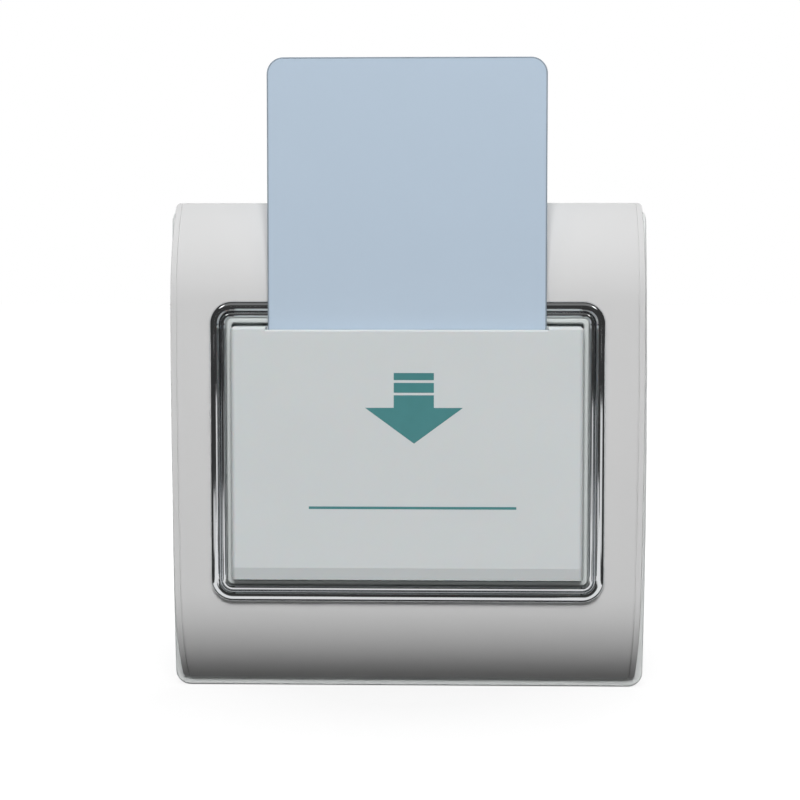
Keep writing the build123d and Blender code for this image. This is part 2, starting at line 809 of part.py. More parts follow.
# Round parts behind the board
varistor = Pos(varistor_x, varistor_lift + varistor_radius - board_back, varistor_z)
varistor *= Cylinder(varistor_radius, varistor_thickness)
export("varistor", varistor)
can = rod(can_x, can_z, can_radius, board_back - can_tall, board_back)
can_groove_far = board_back - can_groove_drop
can_groove_near = can_groove_far - can_groove
can_ring = rod(can_x, can_z, can_radius, can_groove_near, can_groove_far)
can -= can_ring - rod(can_x, can_z, can_radius - can_groove, can_groove_near, can_groove_far)
export("electrolytic_capacitor", can)
fuse_middle = Pos(fuse_x, fuse_cap_radius - board_back, fuse_z)
fuse = fuse_middle * Cylinder(fuse_radius, fuse_length)
for side in (-1, 1):
    fuse += fuse_middle * Pos(0, 0, side * (fuse_length - fuse_cap) / 2) * Cylinder(fuse_cap_radius, fuse_cap)
export("fuse", fuse)
resistors = []
for x in resistor_places:
    middle = Pos(x, resistor_radius - board_back, resistor_z)
    resistor = middle * Cylinder(resistor_radius, resistor_length)
    collar = Cylinder(resistor_radius, resistor_length / 2) - Cylinder(resistor_neck, resistor_length / 2)
    resistors.append(resistor - middle * collar)
export("resistors", *resistors)

# Locator lamp: flange on the frame, domed body towards the pocket's window
lamp_dome = platform_inside - lamp_tip_gap - lamp_radius
lamp = rod(0, lamp_z, lamp_flange_radius, frame_plate, frame_plate + lamp_flange)
lamp += rod(0, lamp_z, lamp_radius, frame_plate, lamp_dome)
lamp += Pos(0, -lamp_dome, lamp_z) * Sphere(lamp_radius)
export("locator_lamp", lamp)

# Terminal block, its clamp cages and clamp screws
block = brick(0, block_z, block_width, block_height, block_rear, board_back)
for x in pole_places:
    block -= brick(x, block_z, cell_width, cell_height, block_rear - overrun, block_rear + cell_depth)
    block -= Pos(x, -cage_middle, block_z - (block_height + cell_height) / 4) * Cylinder(
        clamp_head_radius + seat_gap, (block_height - cell_height) / 2 + overrun
    )
export("terminal_block", block)
cage_width = cell_width - cage_gap - cage_gap
cage_height = cell_height - cage_gap - cage_gap
cage_low = block_z - cage_height / 2
cages = []
clamps = []
for x in pole_places:
    cage = brick(x, block_z, cage_width, cage_height, cage_rear, cage_rear + cage_length)
    cage -= brick(
        x, block_z, cage_width - cage_wall - cage_wall, cage_height - cage_wall - cage_wall,
        cage_rear - overrun, cage_rear + cage_length + overrun,
    )
    cage -= Pos(x, -cage_middle, cage_low + cage_wall / 2) * Cylinder(clamp_radius, cage_wall + overrun)
    cages.append(cage)
    head = Pos(x, -cage_middle, cage_low - clamp_head / 2) * Cylinder(clamp_head_radius, clamp_head)
    head -= Pos(x, -cage_middle, cage_low - clamp_head) * Box(
        clamp_head_radius + clamp_head_radius, clamp_slot, clamp_slot_depth + clamp_slot_depth
    )
    shank = Pos(x, -cage_middle, cage_low + (cage_wall + clamp_bite) / 2) * Cylinder(
        clamp_radius, cage_wall + clamp_bite
    )
    clamps.append(head + shank)
export("terminal_cages", *cages)
export("terminal_screws", *clamps)

# Microswitch: body with a hinged lever over a round-topped button
pivot_x = switch_x - switch_length / 2 + pivot_inset
pivot_z = switch_lever_top - lever_thickness / 2
switch_front = -switch_front_gap
button_x = pivot_x + button_place
button_low = switch_top - button_inside
button_crest = switch_lever_low - touch_gap
switch = brick(switch_x, switch_z, switch_length, switch_height, switch_rear, switch_front)
switch = chamfer(switch.faces().sort_by(Axis.Y)[0].edges(), switch_edge)
for near in (switch_rear, switch_front - ear_thickness):
    ear = brick(
        pivot_x, (switch_top + pivot_z) / 2, ear_width, pivot_z - switch_top, near, near + ear_thickness
    )
    ear += rod(pivot_x, pivot_z, ear_width / 2, near, near + ear_thickness)
    switch += ear
switch -= rod(pivot_x, pivot_z, pivot_radius + pivot_play, switch_rear, switch_front)
for side in (-1, 1):
    switch -= rod(
        switch_x + side * switch_hole_spacing / 2, peg_z, switch_hole_radius,
        switch_rear - overrun, switch_front + overrun,
    )
switch -= brick(
    button_x, switch_top - (button_inside - overrun + slide_gap) / 2,
    button_length + slide_gap + slide_gap, button_inside + overrun + slide_gap,
    pin_depth - button_width / 2 - slide_gap, pin_depth + button_width / 2 + slide_gap,
)
export("microswitch_body", switch)
export("microswitch_pivot", rod(pivot_x, pivot_z, pivot_radius, switch_rear, switch_front))
lever_near = pin_depth - lever_width / 2
lever_far = pin_depth + lever_width / 2
lever = brick(
    pivot_x + lever_reach / 2, pivot_z, lever_reach, lever_thickness, lever_near, lever_far
)
lever += rod(pivot_x, pivot_z, lever_eye_radius, lever_near, lever_far)
lever -= rod(pivot_x, pivot_z, pivot_radius + pivot_play, lever_near - overrun, lever_far + overrun)
export("microswitch_lever", lever)
button_radius = button_length / 2
button_near = pin_depth - button_width / 2
button_far = pin_depth + button_width / 2
button = brick(
    button_x, (button_low + button_crest - button_radius) / 2, button_length,
    button_crest - button_radius - button_low, button_near, button_far,
)
button += rod(button_x, button_crest - button_radius, button_radius, button_near, button_far)
export("microswitch_button", button)
pins = []
for x in switch_pins:
    pin = brick(
        x, (switch_z - switch_height / 2 + pin_foot) / 2, pin_width, pin_drop,
        pin_depth - pin_thickness / 2, pin_depth + pin_thickness / 2,
    )
    pin += brick(
        x, pin_foot + pin_thickness / 2, pin_tail_width, pin_thickness, board_back, pin_depth
    )
    pins.append(pin)
export("microswitch_pins", *pins)

# Card slider: plate, nose under the card's edge, and foot on the microswitch lever
slider = brick(
    0, (slider_top + slider_bottom) / 2, slider_width, slider_top - slider_bottom, slider_back, slider_front
)
slider += brick(0, nose_top - nose_height / 2, nose_width, nose_height, slider_back, nose_far)
slider += brick(0, foot_bottom + foot_height / 2, foot_width, foot_height, lever_near, slider_front)
export("card_slider", slider)

# Return spring: an open coil of quarter-turn pairs of arcs, as one tube
spring_middle = -(slider_back + slider_front) / 2
spring_climb = (spring_length - spring_wire) / (spring_turns * 2 * pi)


def spring_point(turn):
    """Point of the coil's middle line after this turn, in radians."""
    return Vector(
        spring_radius * cos(turn), spring_middle + spring_radius * sin(turn),
        spring_foot + spring_wire / 2 + spring_climb * turn,
    )


def spring_way(turn):
    """Direction of the coil's middle line there."""
    return Vector(-spring_radius * sin(turn), spring_radius * cos(turn), spring_climb).normalized()


def arc_pair(start, start_way, end, end_way):
    """Two arcs that leave the start and reach the end in the given directions."""
    gap = end - start
    ways = start_way + end_way
    square = 4 - ways.dot(ways)
    reach = (sqrt(gap.dot(ways) ** 2 + square * gap.dot(gap)) - gap.dot(ways)) / square
    first = start + start_way * reach
    middle = (first + end - end_way * reach) / 2
    return [TangentArc(start, middle, tangent=start_way), TangentArc(middle, end, tangent=middle - first)]


coil = []
for quarter in range(spring_turns * 4):
    start_turn = quarter * pi / 2
    end_turn = start_turn + pi / 2
    coil += arc_pair(
        spring_point(start_turn), spring_way(start_turn), spring_point(end_turn), spring_way(end_turn)
    )
coil_wire = Wire(coil)
spring_section = Plane(origin=spring_point(0), z_dir=spring_way(0)) * Circle(spring_wire / 2)
export("return_spring", sweep(spring_section, path=coil_wire))
print("spring gap between turns", round(spring_climb * 2 * pi - spring_wire, 3))

# Key card, standing in the pocket with its lower edge on the slider's nose
card = slab(
    Pos(0, card_bottom + card_height / 2) * RectangleRounded(card_width, card_height, card_corner),
    card_back, card_back + card_thickness,
)
card_rims = card.faces().sort_by(Axis.Y)[0].edges() + card.faces().sort_by(Axis.Y)[-1].edges()
export("key_card", chamfer(card_rims, card_edge))
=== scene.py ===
import math

import bpy
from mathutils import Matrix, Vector


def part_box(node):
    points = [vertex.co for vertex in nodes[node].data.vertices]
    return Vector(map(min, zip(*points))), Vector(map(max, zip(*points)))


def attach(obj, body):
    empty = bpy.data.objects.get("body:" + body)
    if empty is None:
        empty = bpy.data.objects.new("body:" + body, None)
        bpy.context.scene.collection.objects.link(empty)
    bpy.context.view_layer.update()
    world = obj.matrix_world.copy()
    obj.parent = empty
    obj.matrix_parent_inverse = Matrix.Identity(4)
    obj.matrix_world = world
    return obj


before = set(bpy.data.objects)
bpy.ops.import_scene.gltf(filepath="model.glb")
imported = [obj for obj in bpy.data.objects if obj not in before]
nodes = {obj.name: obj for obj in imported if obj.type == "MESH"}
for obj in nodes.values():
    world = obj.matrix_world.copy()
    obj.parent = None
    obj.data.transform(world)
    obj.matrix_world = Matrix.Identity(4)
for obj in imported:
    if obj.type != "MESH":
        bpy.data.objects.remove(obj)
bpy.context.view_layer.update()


# Front cover: a silver-grey plate of moulded plastic with bowed sides and curved ends.
# It is satin and very finely grained, and clips over four latches of the mounting frame.
class Pen:
    """One socket in a finish. Sums on it add Math nodes, and node() adds any other node."""

    def __init__(self, tree, socket=None):
        self.tree = tree
        self.socket = socket

    def node(self, kind, settings=(), sockets=(), out=0):
        made = self.tree.nodes.new("ShaderNode" + kind)
        for name, value in dict(settings).items():
            if name == "stops":
                ramp = made.color_ramp
                while len(ramp.elements) < len(value):
                    ramp.elements.new(0.5)
                for element, (place, colour) in zip(ramp.elements, value):
                    element.position = place
                    element.color = colour
            elif name == "blending":
                made.color_ramp.interpolation = value
            else:
                setattr(made, name, value)
        for name, value in dict(sockets).items():
            if isinstance(value, Pen):
                self.tree.links.new(value.socket, made.inputs[name])
            else:
                made.inputs[name].default_value = value
        return Pen(self.tree, made.outputs[out] if len(made.outputs) else None)

    def math(self, operation, *values):
        return self.node("Math", {"operation": operation}, dict(enumerate(values)))

    def __add__(self, other):
        return self.math("ADD", self, other)

    def __radd__(self, other):
        return self.math("ADD", other, self)

    def __sub__(self, other):
        return self.math("SUBTRACT", self, other)

    def __rsub__(self, other):
        return self.math("SUBTRACT", other, self)

    def __mul__(self, other):
        return self.math("MULTIPLY", self, other)

    def __rmul__(self, other):
        return self.math("MULTIPLY", other, self)

    def __truediv__(self, other):
        return self.math("DIVIDE", self, other)

    def __gt__(self, other):
        return self.math("GREATER_THAN", self, other)

    def __lt__(self, other):
        return self.math("LESS_THAN", self, other)


def ink(red, green, blue):
    """A colour as a screen shows it, from 0 to 255, turned into the light that it stands for."""
    light = [(value / 255) ** 2.2 for value in (red, green, blue)]
    return (*light, 1)


def blank(name, **constants):
    """A new material, a pen for its nodes and its one shader, with the constant values set on it."""
    material = bpy.data.materials.new(name)
    material.use_nodes = True
    shader = material.node_tree.nodes["Principled BSDF"]
    for socket, value in constants.items():
        shader.inputs[socket.replace("_", " ")].default_value = value
    return material, Pen(material.node_tree), shader


def feed(pen, shader, socket):
    """Leads a pen's value into one socket of the shader."""
    pen.tree.links.new(pen.socket, shader.inputs[socket])


def relief(pen, shader, strength, distance, height):
    """Raises the surface by a height pattern, up to this distance in metres."""
    bump = pen.node("Bump", sockets={"Strength": strength, "Distance": distance, "Height": height})
    feed(bump, shader, "Normal")


def spread(pen):
    """A point's place on its piece, whole and as its three parts, in metres."""
    place = pen.node("TexCoord", out="Object")
    parts = pen.node("SeparateXYZ", sockets={"Vector": place}).socket.node
    return place, *(Pen(pen.tree, parts.outputs[axis]) for axis in "XYZ")


def mix(factor, first, second):
    """Colour between two others: the first where the factor is 0, the second where it is 1."""
    return factor.node("Mix", {"data_type": "RGBA"}, {0: factor, 6: first, 7: second}, out=2)


def darker(colour, share):
    """The same colour with this share of its light."""
    return (colour[0] * share, colour[1] * share, colour[2] * share, 1)


def moulded(name, colour, gloss, grain=0.00025, depth=0.12, cloud=0.05, **constants):
    """Moulded plastic: mould grain, faint cloudiness in the colour, and gloss that varies a little."""
    material, pen, shader = blank(name, **constants)
    place = pen.node("TexCoord", out="Object")
    fine = pen.node("TexNoise", sockets={"Vector": place, "Scale": 1 / grain, "Detail": 3.0})
    broad = pen.node("TexNoise", sockets={"Vector": place, "Scale": 70.0, "Detail": 4.0})
    feed(mix(broad, darker(colour, 1 - cloud), darker(colour, 1 + cloud)), shader, "Base Color")
    feed(gloss + (broad - 0.5) * 0.12 + (fine - 0.5) * 0.08, shader, "Roughness")
    relief(pen, shader, depth, grain / 4, fine)
    return material


def dress(node, material):
    """Gives every slot of a CAD node this material."""
    for slot in nodes[node].material_slots:
        slot.material = material


dress("front_cover", moulded(
    "silver_grey_plastic", ink(204, 204, 204), 0.6, grain=0.00018, depth=0.1, cloud=0.012,
    Specular_IOR_Level=0.35,
))


# Chrome trim ring: a plated plastic ring with a wide and a narrow bead.
# Bright nickel-chrome over smooth plastic, pressed into the cover round the window.
def plated(name, colour, gloss, haze, wear=0.0, drawn=0.04):
    """Polished or plated metal: slight haze, fine hairlines, and duller spots where it has worn."""
    material, pen, shader = blank(name, Metallic=1.0)
    place = pen.node("TexCoord", out="Object")
    broad = pen.node("TexNoise", sockets={"Vector": place, "Scale": 160.0, "Detail": 5.0})
    long = pen.node("Mapping", sockets={"Vector": place, "Scale": (300.0, 2500.0, 4000.0)})
    hair = pen.node("TexNoise", sockets={"Vector": long, "Scale": 1.0, "Detail": 4.0})
    feed(mix(broad, darker(colour, 0.94 - wear), colour), shader, "Base Color")
    feed(gloss + broad * haze + hair * haze, shader, "Roughness")
    relief(pen, shader, drawn, 0.00002, hair)
    return material


dress("chrome_trim_ring", plated("bright_chrome", ink(226, 228, 230), 0.05, 0.02, drawn=0.003))

# Inner bezel: a thin pale frame of moulded plastic between the chrome ring and the pocket.
# It is pressed round the pocket with its front edge just proud of the cover.
dress("inner_bezel", moulded("bezel_plastic", ink(196, 201, 200), 0.38, cloud=0.012, Coat_Weight=0.1))

# Pocket front panel: the pale, slightly milky wall of the card pocket, of satin acrylic.
# Four screws from behind hold it on the back plate, and its top edge has the slot for the card.
dress("pocket_front_panel", moulded(
    "milky_panel_plastic", ink(203, 208, 209), 0.38, grain=0.0002, depth=0.05, cloud=0.012,
    Coat_Weight=0.25, Coat_Roughness=0.12, Subsurface_Weight=0.05, Subsurface_Scale=0.0012,
))

# Marks on the panel: an arrow with two bars above it that shows which way the card goes,
# and a plain thin rule below it. Both are a film of screen-printed teal ink.
panel_face = -0.0165
ink_film = 0.00002
shaft_left, shaft_right = -0.00250, 0.00526
head_left, head_right, head_tip = -0.00806, 0.01086, 0.00143
rule_left, rule_right = -0.01898, 0.02123


def printed(name, colour):
    """Screen-printed ink: a satin film with faint unevenness from the mesh of the screen."""
    material, pen, shader = blank(name, Coat_Weight=0.1)
    place = pen.node("TexCoord", out="Object")
    cloth = pen.node("TexVoronoi", sockets={"Vector": place, "Scale": 9000.0})
    thin = pen.node("TexNoise", sockets={"Vector": place, "Scale": 500.0, "Detail": 4.0})
    feed(mix(thin, darker(colour, 0.93), darker(colour, 1.07)), shader, "Base Color")
    feed(0.42 + (thin - 0.5) * 0.2, shader, "Roughness")
    relief(pen, shader, 0.15, 0.00001, cloth)
    return material


teal = printed("teal_print", ink(70, 128, 130))


def printed_bar(name, left, right, top, foot, point=None):
    """A flat bar of ink on the panel, or with a point a triangle whose tip stands below it."""
    bpy.ops.object.select_all(action="DESELECT")
    bpy.ops.mesh.primitive_plane_add(
        size=1, location=((left + right) / 2, panel_face, (top + foot) / 2), rotation=(math.pi / 2, 0, 0)
    )
    bar = bpy.context.object
    bar.name = name
    bar.scale = (right - left, top - foot, 1)
    bpy.ops.object.transform_apply(location=True, rotation=True, scale=True)
    if point is not None:
        for vertex in bar.data.vertices:
            if vertex.co.z < (top + foot) / 2:
                vertex.co.x = point
    bpy.ops.object.mode_set(mode="EDIT")
    bpy.ops.mesh.select_all(action="SELECT")
    bpy.ops.mesh.remove_doubles(threshold=0.000001)
    bpy.ops.mesh.extrude_region_move(TRANSFORM_OT_translate={"value": (0, -ink_film, 0)})
    bpy.ops.mesh.select_all(action="SELECT")
    bpy.ops.mesh.normals_make_consistent(inside=False)
    bpy.ops.object.mode_set(mode="OBJECT")
    bar.data.materials.append(teal)
    return bar


arrow_parts = [
    printed_bar("arrow_print", shaft_left, shaft_right, 0.01466, 0.01328),
    printed_bar("arrow_bar", shaft_left, shaft_right, 0.01274, 0.01083),
    printed_bar("arrow_shaft", shaft_left, shaft_right, 0.01035, 0.00791),
    printed_bar("arrow_head", head_left, head_right, 0.00791, 0.00097, point=head_tip),
]
bpy.ops.object.select_all(action="DESELECT")
for part in arrow_parts:
    part.select_set(True)
bpy.context.view_layer.objects.active = arrow_parts[0]
bpy.ops.object.join()
arrow = bpy.context.object
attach(arrow, "switch_unit")
rule = printed_bar("panel_rule", rule_left, rule_right, -0.01130, -0.01180)
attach(rule, "switch_unit")

# Pocket back plate: a moulded part with a flange, which closes the window from behind.
# It carries the pocket, the card slide and the leaf springs, and is screwed to the cover.
dress("pocket_back_plate", moulded("back_plate_plastic", ink(228, 230, 228), 0.45, cloud=0.02))


# Leaf springs and return spring: bright drawn spring steel, the strips rolled and the coil wound.
# The strips press lightly on the card, and the coil lifts the slide when the card leaves.
spring_steel = plated("spring_steel", ink(176, 178, 180), 0.2, 0.12, wear=0.05)
dress("card_leaf_springs", spring_steel)
dress("return_spring", spring_steel)


# Screws: zinc-plated steel with a slight yellow-blue cast, driven from behind.
# The same finish serves the panel, cover, housing, board and terminal screws.
def zinc_plated(name, colour):
    """Zinc-plated steel: crystals of slightly different brightness, with a faint warm and cool cast."""
    material, pen, shader = blank(name, Metallic=1.0)
    place = pen.node("TexCoord", out="Object")
    cells = pen.node("TexVoronoi", sockets={"Vector": place, "Scale": 2200.0})
    cast = pen.node("TexNoise", sockets={"Vector": place, "Scale": 420.0, "Detail": 3.0})
    warm = (colour[0], colour[1] * 0.96, colour[2] * 0.86, 1)
    feed(mix(cast, warm, colour), shader, "Base Color")
    feed(0.24 + cells * 0.2 + cast * 0.08, shader, "Roughness")
    relief(pen, shader, 0.15, 0.00002, cells)
    return material


zinc = zinc_plated("zinc_plated_steel", ink(186, 190, 196))
for node in ("panel_screws", "cover_screws", "housing_screws", "board_screws", "terminal_screws"):
    dress(node, zinc)

# Mounting frame: the pale rear plate that is screwed to the wall box, of tough satin nylon.
# Its rim shows beside and below the cover, and its pegs and rails carry the moving parts.
dress("mounting_frame", moulded("frame_nylon", ink(242, 245, 244), 0.45, cloud=0.02, Coat_Weight=0.05))

# Rear housing: the box in the wall behind the frame, of grey flame-retardant plastic.
# It is coarser than the cover because nobody sees it, and four screws hold it to the frame.
dress("rear_housing", moulded(
    "housing_plastic", ink(118, 122, 126), 0.5, grain=0.0004, depth=0.35, cloud=0.04,
))


# Circuit board: green solder mask over copper tracks on woven glass, with round bare pads.
# Four small screws hold it on standoffs inside the housing.
def solder_mask(name):
    """Green lacquer that is lighter over its copper tracks, with the weave of the glass under it."""
    material, pen, shader = blank(name, Coat_Weight=0.6, Coat_Roughness=0.1)
    place = pen.node("TexCoord", out="Object")
    turned = pen.node("Mapping", sockets={"Vector": place, "Scale": (1.0, 0.0, 1.0)})
    cells = pen.node(
        "TexVoronoi", {"distance": "MANHATTAN", "feature": "F1"}, {"Vector": turned, "Scale": 330.0}
    )
    tracks = pen.node("Math", {"operation": "PINGPONG"}, {0: cells * 5, 1: 0.5}) > 0.3
    weave = pen.node("TexWave", sockets={"Vector": place, "Scale": 900.0, "Distortion": 0.4})
    base = mix(weave, ink(18, 84, 48), ink(22, 92, 52))
    feed(mix(tracks, base, ink(40, 122, 66)), shader, "Base Color")
    feed(0.3 + weave * 0.08, shader, "Roughness")
    height = tracks + weave * 0.15
    relief(pen, shader, 0.3, 0.00003, height)
    return material


dress("circuit_board", solder_mask("green_solder_mask"))

# Component leads and switch pins: tinned copper wire, soldered through the board.
# Tin is soft and white, so the wires are a little dull and marked by the tools that bent them.
tin = zinc_plated("tinned_copper", ink(200, 202, 200))
dress("component_leads", tin)
dress("microswitch_pins", tin)

# Power relay: a sealed box of smooth blue plastic that switches the room's circuits.
# It is soldered to the back of the board.
dress("power_relay", moulded("relay_plastic", ink(28, 92, 170), 0.3, grain=0.0003, depth=0.1))

# Film capacitor: a yellow plastic box filled with resin, which drops the mains voltage.
# The filled foot is a little rougher than the moulded sides.
dress("film_capacitor", moulded("capacitor_box_plastic", ink(232, 176, 36), 0.35, grain=0.0003))


# Electrolytic capacitor: an aluminium can in a shrunk dark sleeve with one pale stripe.
# The top of the can is bare metal, and the sleeve laps over its edge.
def sleeved_can(name, low, high):
    """Dark sleeve with a pale stripe on one side, and bare aluminium on the far end."""
    material, pen, shader = blank(name)
    place, x, y, z = spread(pen)
    middle = (low + high) / 2
    radius = (high.x - low.x) / 2
    across = pen.math("POWER", (x - middle.x) * (x - middle.x) + (z - middle.z) * (z - middle.z), 0.5)
    on_end = (y > high.y - 0.0002) * (across < radius * 0.8)
    stripe = (x - middle.x) > radius * 0.78
    grain = pen.node("TexNoise", sockets={"Vector": place, "Scale": 700.0, "Detail": 3.0})
    sleeve = mix(stripe, ink(34, 36, 44), ink(172, 176, 182))
    feed(mix(on_end, sleeve, ink(190, 192, 194)), shader, "Base Color")
    feed(on_end * 1.0, shader, "Metallic")
    feed(0.28 + grain * 0.1, shader, "Roughness")
    relief(pen, shader, 0.1, 0.00003, grain)
    return material


dress("electrolytic_capacitor", sleeved_can("sleeved_can", *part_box("electrolytic_capacitor")))

# Bridge rectifier and timer chip: black epoxy moulded round the silicon.
# The epoxy is matt and sandy from its glass filler.
epoxy = moulded("black_epoxy", ink(30, 31, 33), 0.6, grain=0.0002, depth=0.3, cloud=0.08)
dress("bridge_rectifier", epoxy)
dress("timer_chip", epoxy)

# Varistor: a pressed disc dipped in blue lacquer, which guards against surges.
# The lacquer is glossy and slightly lumpy, as it set on the disc.
dress("varistor", moulded(
    "dipped_lacquer", ink(22, 62, 132), 0.22, grain=0.0012, depth=0.35,
    Coat_Weight=0.6, Coat_Roughness=0.08,
))


# Fuse and resistors: a ceramic tube with two plated caps, and lacquered bodies with colour bands.
# Both are small axial parts, laid flat on the board on their bent leads.
def along(pen, node):
    """How far a point lies along the longest side of a node's box, from 0 to 1."""
    low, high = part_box(node)
    size = high - low
    axis = max(range(3), key=lambda index: size[index])
    place, *parts = spread(pen)
    return (parts[axis] - low[axis]) / size[axis], place


def capped_tube(name, node, cap_share):
    """Off-white ceramic between two bright plated caps."""
    material, pen, shader = blank(name)
    share, place = along(pen, node)
    caps = pen.math("ABSOLUTE", share - 0.5) > 0.5 - cap_share
    grain = pen.node("TexNoise", sockets={"Vector": place, "Scale": 900.0, "Detail": 3.0})
    body = mix(grain, ink(212, 204, 188), ink(224, 218, 204))
    feed(mix(caps, body, ink(196, 198, 200)), shader, "Base Color")
    feed(caps * 1.0, shader, "Metallic")
    feed(0.55 - caps * 0.3 + grain * 0.06, shader, "Roughness")
    relief(pen, shader, 0.1, 0.00002, grain)
    return material


def banded(name, node, bands):
    """Tan lacquer with rings of colour, each given by its place along the body and its colour."""
    material, pen, shader = blank(name, Coat_Weight=0.4, Coat_Roughness=0.15)
    low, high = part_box(node)
    place, _, _, z = spread(pen)
    share = (z - low.z) / (high.z - low.z)
    grain = pen.node("TexNoise", sockets={"Vector": place, "Scale": 600.0, "Detail": 3.0})
    colour = mix(grain, ink(196, 166, 120), ink(208, 180, 134))
    for middle, band in bands:
        colour = mix(pen.math("ABSOLUTE", share - middle) < 0.045, colour, band)
    feed(colour, shader, "Base Color")
    feed(0.34 + grain * 0.1, shader, "Roughness")
    relief(pen, shader, 0.1, 0.00003, grain)
    return material


dress("fuse", capped_tube("capped_ceramic", "fuse", 0.25))
dress("resistors", banded("banded_lacquer", "resistors", [
    (0.2, ink(120, 66, 30)), (0.38, ink(24, 22, 22)), (0.56, ink(206, 96, 30)), (0.8, ink(176, 140, 60)),
]))

# Locator lamp: a small lamp of clear epoxy that lights the pocket, so that it is found in the dark.
# The lens is slightly milky, and stands in a hole of the frame.
material, pen, shader = blank(
    "clear_lens", Transmission_Weight=0.85, IOR=1.5, Coat_Weight=0.3, Coat_Roughness=0.05
)
place = pen.node("TexCoord", out="Object")
cloud = pen.node("TexNoise", sockets={"Vector": place, "Scale": 500.0, "Detail": 3.0})
feed(mix(cloud, ink(214, 234, 226), ink(232, 244, 240)), shader, "Base Color")
feed(0.06 + cloud * 0.12, shader, "Roughness")
dress("locator_lamp", material)

# Terminal block: green plastic with three cells at the foot of the board, open to the back.
# Each cell holds a brass cage with a clamp screw that grips one of the house wires.
dress("terminal_block", moulded("terminal_plastic", ink(44, 142, 84), 0.42, grain=0.0003, depth=0.15))
dress("terminal_cages", plated("clamp_brass", ink(212, 172, 96), 0.22, 0.14, wear=0.06))

# Microswitch: a black body on two pegs of the frame, with a steel lever on a pin and a red button.
# The slide lets the lever up when the card is out, and the button follows it.
dress("microswitch_body", moulded("switch_plastic", ink(38, 39, 42), 0.42, grain=0.0003, depth=0.12))
dress("microswitch_pivot", spring_steel)
dress("microswitch_lever", spring_steel)
dress("microswitch_button", moulded("button_plastic", ink(178, 40, 34), 0.32, grain=0.0004))

# Card slide: a white part of slippery acetal that the card pushes down against its spring.
# Its nose carries the card and its foot holds the lever of the microswitch down.
dress("card_slider", moulded("slide_acetal", ink(232, 232, 226), 0.32, cloud=0.015, Coat_Weight=0.1))

# Key card: a blank blue-grey card of laminated plastic, with a matt face and a clean cut edge.
# It stands in the slot on the slide's nose, and is drawn out upwards by hand.
def laminated(name, colour, low, high, corner, edge_shade_width):
    """Matt printed laminate, with painted edge shade: a darker line painted round its outline."""
    material, pen, shader = blank(name, Coat_Weight=0.08)
    place, x, _, z = spread(pen)
    middle, half = (low + high) / 2, (high - low) / 2
    reach = 0.0
    for part, centre, limit in ((x, middle.x, half.x), (z, middle.z, half.z)):
        past = pen.math("MAXIMUM", pen.math("ABSOLUTE", part - centre) - (limit - corner), 0.0)
        reach = past * past + reach
    # Painted edge shade: a thin band inside the outline is painted darker, standing in for the shade of
    # the card's edge.
    painted_edge_shade = pen.math("POWER", reach, 0.5) > corner - edge_shade_width
    broad = pen.node("TexNoise", sockets={"Vector": place, "Scale": 70.0, "Detail": 4.0})
    fine = pen.node("TexNoise", sockets={"Vector": place, "Scale": 2800.0, "Detail": 3.0})
    face = mix(broad, darker(colour, 0.988), darker(colour, 1.012))
    feed(mix(painted_edge_shade, face, darker(colour, 0.55)), shader, "Base Color")
    feed(0.46 + (broad - 0.5) * 0.12 + (fine - 0.5) * 0.08, shader, "Roughness")
    relief(pen, shader, 0.06, 0.00009, fine)
    return material


card_corner = 0.00318
# Width of the painted edge shade along the card's outline.
painted_edge_shade_width = 0.00028
card_low, card_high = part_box("key_card")
dress("key_card", laminated(
    "card_laminate", ink(178, 194, 210), card_low, card_high, card_corner, painted_edge_shade_width,
))


# Studio: a pale floor and a white background that the camera, glass and mirrors see.
# Dark screens and white cards that only shiny things see give the chrome its dark and bright lines,
# and soft lamps light the plate from high in front and from behind.
def seen_white(pen):
    """1 for rays that should find the white background: the camera's, and those of shine and glass."""
    path = pen.node("LightPath").socket.node
    camera, glass, shine = (Pen(pen.tree, path.outputs["Is %s Ray" % kind]) for kind in (
        "Camera", "Transmission", "Glossy",
    ))
    return pen.math("MAXIMUM", pen.math("MAXIMUM", camera, glass), shine)


world = bpy.context.scene.world or bpy.data.worlds.new("studio")
bpy.context.scene.world = world
world.use_nodes = True
world.node_tree.nodes.clear()
pen = Pen(world.node_tree)
white = pen.node("Background", sockets={"Color": (1, 1, 1, 1), "Strength": 1.0})
fill = pen.node("Background", sockets={"Color": (0.94, 0.97, 1, 1), "Strength": 0.045})
both = pen.node("MixShader", sockets={0: seen_white(pen), 1: fill, 2: white})
pen.node("OutputWorld", sockets={"Surface": both})

# The floor is white far off, with a painted shadow that makes it a little darker close to the plate
floor_z = -0.0496
painted_shadow_level, painted_shadow_reach, painted_shadow_fade = 0.8, 0.02, 2.0
bpy.ops.object.select_all(action="DESELECT")
bpy.ops.mesh.primitive_plane_add(size=6, location=(0, 0, floor_z))
floor = bpy.context.object
floor.name = "floor"
material = bpy.data.materials.new("pale_floor")
material.use_nodes = True
material.node_tree.nodes.clear()
pen = Pen(material.node_tree)
lit = pen.node("BsdfDiffuse", sockets={"Color": (0.16, 0.16, 0.16, 1)})
spot = pen.node("TexCoord", out="Object")
away = pen.node("VectorMath", {"operation": "LENGTH"}, {0: spot}, out="Value")
past = pen.math("MAXIMUM", away - painted_shadow_reach, 0.0)
# Painted shadow: the floor's glow is lowered near the plate and rises to full white further off.
painted_shadow_glow = pen.math("MINIMUM", painted_shadow_level + past * painted_shadow_fade, 1.0)
glow = pen.node("Emission", sockets={"Color": (1, 1, 1, 1), "Strength": seen_white(pen) * painted_shadow_glow})
surface = pen.node("AddShader", sockets={0: lit, 1: glow})
pen.node("OutputMaterial", sockets={"Surface": surface})
floor.data.materials.append(material)


